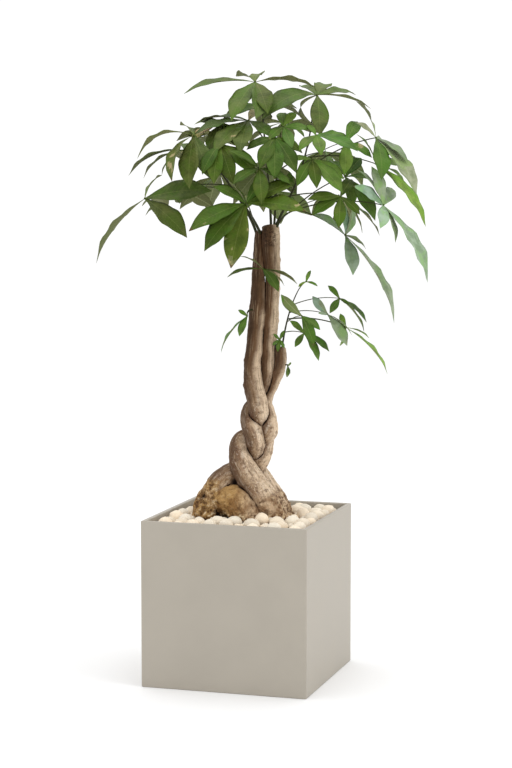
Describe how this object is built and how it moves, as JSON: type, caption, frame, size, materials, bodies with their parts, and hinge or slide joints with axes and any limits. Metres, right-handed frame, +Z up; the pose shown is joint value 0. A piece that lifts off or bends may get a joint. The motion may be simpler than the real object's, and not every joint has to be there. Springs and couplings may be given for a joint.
{
  "type": "potted money tree",
  "caption": "Money tree with a plaited trunk and a wide crown of palmate leaves, standing in a square planter filled with soil and pale pebbles.",
  "frame": {"origin": "centre of the planter's underside, on the floor", "axes": "+Z up along the trunk; X and Y along the planter's sides, -Y its front face; the wide side of the crown lies 17.2 degrees round from X"},
  "size_m": [0.7591, 0.5891, 1.4353],
  "materials": {
    "planter": "smooth satin, warm light taupe",
    "potting_soil": "dark crumbly soil",
    "pebbles": "rounded cream pebbles, matte",
    "bark": "rough taupe bark, orange-brown at the roots",
    "foliage": "leathery green leaves, satin above and paler below"
  },
  "bodies": {
    "root": {"planter": "planter", "potting_soil": "potting_soil", "pebble_layer": "pebbles", "stem_left": "bark", "stem_middle": "bark", "stem_right": "bark", "leafy_shoot_top": "foliage", "leafy_shoot_right": "foliage", "leafy_shoot_low_right": "foliage", "leafy_shoot_left": "foliage", "leafy_shoot_front": "foliage", "leafy_shoot_back": "foliage", "leafy_shoot_back_left": "foliage", "leafy_shoot_low": "foliage", "trunk_leaf": "foliage", "left_trunk_leaf": "foliage", "side_sprout": "foliage"}
  },
  "joints": []
}
